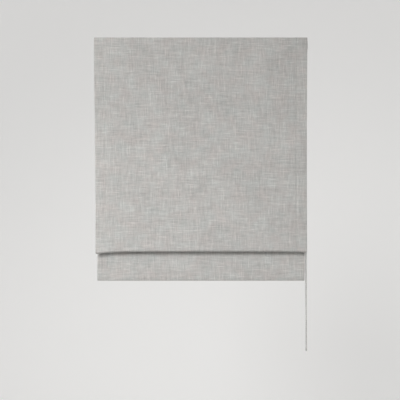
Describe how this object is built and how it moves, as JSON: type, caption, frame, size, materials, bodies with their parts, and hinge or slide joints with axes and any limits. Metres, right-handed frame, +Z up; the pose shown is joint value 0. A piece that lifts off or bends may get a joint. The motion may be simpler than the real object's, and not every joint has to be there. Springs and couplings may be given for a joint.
{
  "type": "roman blind",
  "caption": "Roman blind of plain woven cloth with a lining and rods in pockets, its lowest panel drawn up in a soft fold, on a slim headrail with a bead-chain drive and clip-on brackets.",
  "frame": {"origin": "midway between the two fixing holes, on the plane that the brackets are screwed up against", "axes": "+X along the headrail to the chain's end, -Y to the room, +Z up"},
  "size_m": [0.6175, 0.0448, 0.9071],
  "materials": {
    "face_cloth": "slubby plain weave",
    "lining_cloth": "smooth sateen",
    "rod": "satin",
    "white_plastic": "satin",
    "grey_plastic": "satin",
    "clear_plastic": "frosted",
    "cord": "braided",
    "bar": "mill",
    "rail": "satin powder coat",
    "tape": "hook and loop pile",
    "spring_steel": "zinc plated",
    "shaft": "drawn",
    "bead_metal": "nickel"
  },
  "bodies": {
    "root": {"face_fabric": "face_cloth", "lining": "lining_cloth", "left_lift_cord": "cord", "right_lift_cord": "cord", "headrail": "rail", "hook_tape": "tape", "loop_tape": "tape", "left_bracket": "spring_steel", "right_bracket": "spring_steel", "end_cap": "white_plastic", "left_cradle": "grey_plastic", "right_cradle": "grey_plastic", "drive_housing": "white_plastic", "clutch_spring": "spring_steel", "drive_cover": "white_plastic", "bead_chain": "bead_metal", "chain_connector": "clear_plastic"},
    "upper_rod": {"rod_1": "rod", "rod_1_end_caps": "white_plastic", "rod_1_cord_guides": "clear_plastic"},
    "middle_rod": {"rod_2": "rod", "rod_2_end_caps": "white_plastic", "rod_2_cord_guides": "clear_plastic"},
    "hem": {"rod_3": "rod", "rod_3_end_caps": "white_plastic", "release_sockets": "clear_plastic", "left_cord_plug": "white_plastic", "right_cord_plug": "white_plastic", "bottom_bar": "bar"},
    "drive": {"drive_shaft": "shaft", "shaft_bush": "grey_plastic", "left_spool": "white_plastic", "right_spool": "white_plastic", "left_cord_turns": "cord", "right_cord_turns": "cord", "chain_wheel": "grey_plastic"}
  },
  "joints": [
    {"name": "upper_rod_lift", "type": "slide", "parent": "root", "child": "upper_rod", "axis": [0, 0, 1], "range_m": [0, 0.195], "deforming": ["face_fabric", "lining", "left_lift_cord", "right_lift_cord"]},
    {"name": "middle_rod_lift", "type": "slide", "parent": "upper_rod", "child": "middle_rod", "axis": [0, 0, 1], "range_m": [0, 0.224], "deforming": ["face_fabric", "lining", "left_lift_cord", "right_lift_cord"]},
    {"name": "hem_lift", "type": "slide", "parent": "middle_rod", "child": "hem", "axis": [0, 0, 1], "range_m": [-0.212, 0.012], "deforming": ["face_fabric", "lining", "left_lift_cord", "right_lift_cord"]},
    {"name": "drive_spin", "type": "hinge", "parent": "root", "child": "drive", "pos_m": [0, 0.0052, -0.0173], "axis": [1, 0, 0], "range_deg": [-90, 1570], "deforming": ["bead_chain"]}
  ],
  "couplings": [
    {"joint": "drive_spin", "follows": "hem_lift", "rad_per_m": -129.03}
  ]
}
